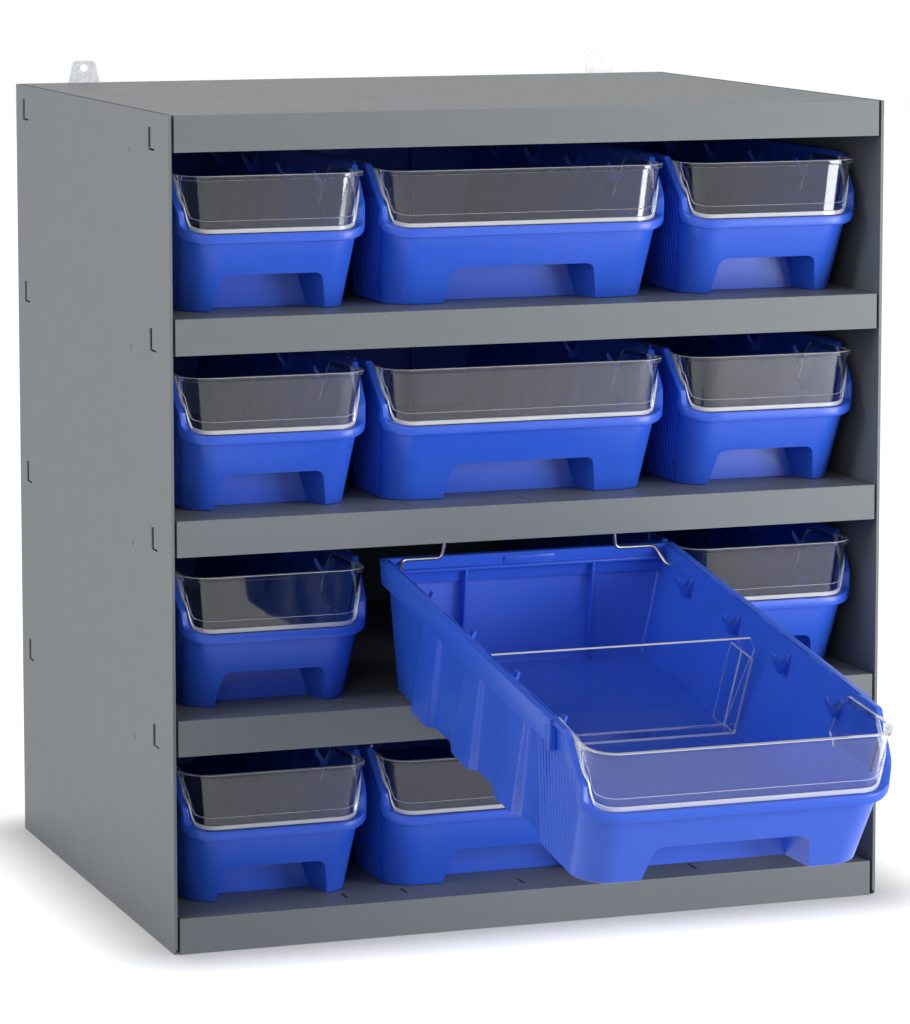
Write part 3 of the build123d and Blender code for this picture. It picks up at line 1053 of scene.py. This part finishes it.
def refined(name, materials, body, fold=fold_round, edge=edge_round):
    """A finer copy of a solid: long outer folds get a bend, every other edge is eased."""
    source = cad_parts[name]
    work = bmesh.new()
    work.from_mesh(source.data)
    bmesh.ops.transform(work, matrix=source.matrix_world, verts=work.verts)
    if name == "top_panel" or name in shelves:
        show_slots(work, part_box(name)[1][2] / MM)
    bmesh.ops.remove_doubles(work, verts=work.verts, dist=weld * MM)
    bmesh.ops.dissolve_limit(work, angle_limit=radians(flat_angle), verts=work.verts, edges=work.edges)
    weight = work.edges.layers.float.new("bevel_weight_edge")
    for line in work.edges:
        if len(line.link_faces) != 2 or line.calc_face_angle(0) < radians(fold_angle):
            continue
        narrow = min(narrowest(face) for face in line.link_faces)
        outer = line.is_convex and narrow > fold_wide * MM and line.calc_length() > fold_long * MM
        line[weight] = 1.0 if outer else edge / fold
    mesh = bpy.data.meshes.new(name)
    work.to_mesh(mesh)
    work.free()
    mesh = evaluated(mesh, "BEVEL", width=fold * MM, segments=fold_segments, limit_method="WEIGHT")
    mesh = smoothed(mesh, sheet_smooth_angle)
    mesh = evaluated(mesh, "WEIGHTED_NORMAL", weight=flat_weight, keep_sharp=True)
    # Cut edges of clear sheet take the second finish, whose whitish colour is a painted highlight.
    if len(materials) > 1:
        for face in mesh.polygons:
            sides = [(mesh.vertices[a].co - mesh.vertices[b].co).length for a, b in face.edge_keys]
            face.material_index = int(face.area / max(sides) < rim_wide * MM)
    piece = new_piece(name + "_looks", mesh, materials, body)
    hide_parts(name)


def add_rivets(name, material):
    """Two rivets on a wall lug."""
    low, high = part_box(name)
    for shift in (-rivet_apart, rivet_apart):
        centre = (low[0] + high[0]) / 2 + shift * MM
        place = Matrix.Translation((centre, low[1], low[2] + rivet_rise * MM))
        new_piece(f"{name}_rivet", rivet_mesh(), [material], "cabinet", place)


def bin_place(tag):
    """Place of a bin's rear foot. The pulled one hangs over the lip of its shelf."""
    low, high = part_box(f"bin_{tag}")
    across = (low[0] + high[0]) / 2
    if tag != "3_middle":
        return Matrix.Translation((across, high[1], low[2]))
    shelf_low, shelf_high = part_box("shelf_3")
    lip = Matrix.Translation((across, shelf_low[1], shelf_high[2]))
    lift = Matrix.Translation((0, pulled_overlap * MM, running_gap * MM))
    return lip @ Matrix.Rotation(radians(droop_angle), 4, "X") @ lift


paint = painted_steel()
zinc = galvanised_steel()
blue = blue_plastic()
clear = clear_plastic()
clear_rim_highlight = clear_edge_highlight()
wire_metal = zinc_wire()

shelves = ("shelf_1", "shelf_2", "shelf_3")
for name in ("side_left", "side_right", "top_panel", *shelves, "bottom_shelf", "back_panel"):
    refined(name, [paint], "cabinet")
for name in ("wall_lug_left", "wall_lug_right"):
    add_rivets(name, zinc)
    refined(name, [zinc], "cabinet", fold=edge_round)

feet = {"left": narrow_foot, "middle": wide_foot, "right": narrow_foot}
shapes = {foot: (bin_mesh(foot), glass_mesh(foot), wire_mesh(foot)) for foot in (narrow_foot, wide_foot)}
for row in range(1, rows + 1):
    for column, foot in feet.items():
        tag = f"{row}_{column}"
        place = bin_place(tag)
        tub, pane, bail = shapes[foot]
        tub = new_piece(f"tub_{tag}", tub, [blue], f"bin_{tag}", place)
        pane = new_piece(f"pane_{tag}", pane, [clear, clear_rim_highlight], f"bin_{tag}", place)
        bail = new_piece(f"bail_{tag}", bail, [wire_metal], f"wire_{tag}", place)
        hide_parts(f"bin_{tag}")
        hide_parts(f"window_{tag}")
        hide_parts(f"wire_stop_{tag}")
refined("divider_3_middle", [clear, clear_rim_highlight], "bin_3_middle", fold=divider_round)


# Floor, world, lights and camera.


def white_world():
    """White backdrop that lights the scene a little less than it shows."""
    world = bpy.data.worlds.new("world")
    world.use_nodes = True
    bpy.context.scene.world = world
    tree = world.node_tree
    shown = tree.nodes["Background"]
    lit = tree.nodes.new("ShaderNodeBackground")
    for background, strength in ((shown, world_shown), (lit, world_light)):
        background.inputs["Color"].default_value = (1, 1, 1, 1)
        background.inputs["Strength"].default_value = strength
    mix = tree.nodes.new("ShaderNodeMixShader")
    seen = light_path(tree, "Is Camera Ray", "Is Glossy Ray", "Is Transmission Ray")
    tree.links.new(seen, mix.inputs["Fac"])
    tree.links.new(lit.outputs["Background"], mix.inputs[1])
    tree.links.new(shown.outputs["Background"], mix.inputs[2])
    tree.links.new(mix.outputs["Shader"], tree.nodes["World Output"].inputs["Surface"])


def vector_math(tree, operation, value, other=None):
    """One step of vector maths on a value, with a constant where the step takes two."""
    step = tree.nodes.new("ShaderNodeVectorMath")
    step.operation = operation
    tree.links.new(value, step.inputs[0])
    if other is not None:
        step.inputs[1].default_value = other
    return step.outputs["Value" if operation == "LENGTH" else "Vector"]


def white_floor():
    """Floor that takes the cast shadow and is white elsewhere, with its glow faded out round the footprint as
    a painted shadow.
    """
    corners = [(x * floor_half, y * floor_half, 0) for x, y in ((-1, -1), (1, -1), (1, 1), (-1, 1))]
    mesh = mesh_from("floor", corners, [(0, 1, 2, 3)])
    material, tree, shader = new_material("floor", floor_grey, roughness=0.9, Specular_IOR_Level=0.1)
    shader.inputs["Emission Color"].default_value = (1, 1, 1, 1)
    place = tree.nodes.new("ShaderNodeTexCoord").outputs["Object"]
    place = vector_math(tree, "SUBTRACT", place, footprint_centre)
    past = vector_math(tree, "SUBTRACT", vector_math(tree, "ABSOLUTE", place), footprint_half)
    far = vector_math(tree, "LENGTH", vector_math(tree, "MAXIMUM", past, (0, 0, 0)))
    ranged = tree.nodes.new("ShaderNodeMapRange")
    ranged.inputs["From Max"].default_value = shadow_fade
    ranged.inputs["To Max"].default_value = floor_glow
    ranged.interpolation_type = "SMOOTHSTEP"
    tree.links.new(far, ranged.inputs["Value"])
    glow = tree.nodes.new("ShaderNodeMath")
    glow.operation = "MULTIPLY"
    tree.links.new(ranged.outputs["Result"], glow.inputs[0])
    seen = light_path(tree, "Is Camera Ray", "Is Glossy Ray", "Is Transmission Ray")
    tree.links.new(seen, glow.inputs[1])
    tree.links.new(glow.outputs[0], shader.inputs["Emission Strength"])
    mesh.materials.append(material)
    ground = bpy.data.objects.new("floor", mesh)
    bpy.context.scene.collection.objects.link(ground)


def area_light(name, place, aim, size, power):
    """Soft square light that looks at a point."""
    lamp = bpy.data.lights.new(name, "AREA")
    lamp.size = size
    lamp.energy = power
    stand = bpy.data.objects.new(name, lamp)
    stand.location = place
    stand.rotation_euler = (Vector(aim) - Vector(place)).to_track_quat("-Z", "Y").to_euler()
    bpy.context.scene.collection.objects.link(stand)


white_world()
white_floor()
for name, settings in lamps.items():
    area_light(name, *settings)

camera = bpy.data.cameras.new("camera")
camera.sensor_width = sensor
camera.lens = camera_focus / image_long * sensor
camera.shift_y = camera_shift
tripod = bpy.data.objects.new("camera", camera)
tripod.location = Vector(camera_place) * MM
tripod.rotation_euler = (pi / 2 - radians(camera_pitch), 0, -radians(camera_yaw))
bpy.context.scene.collection.objects.link(tripod)
bpy.context.scene.camera = tripod
bpy.context.scene.view_settings.view_transform = "Standard"
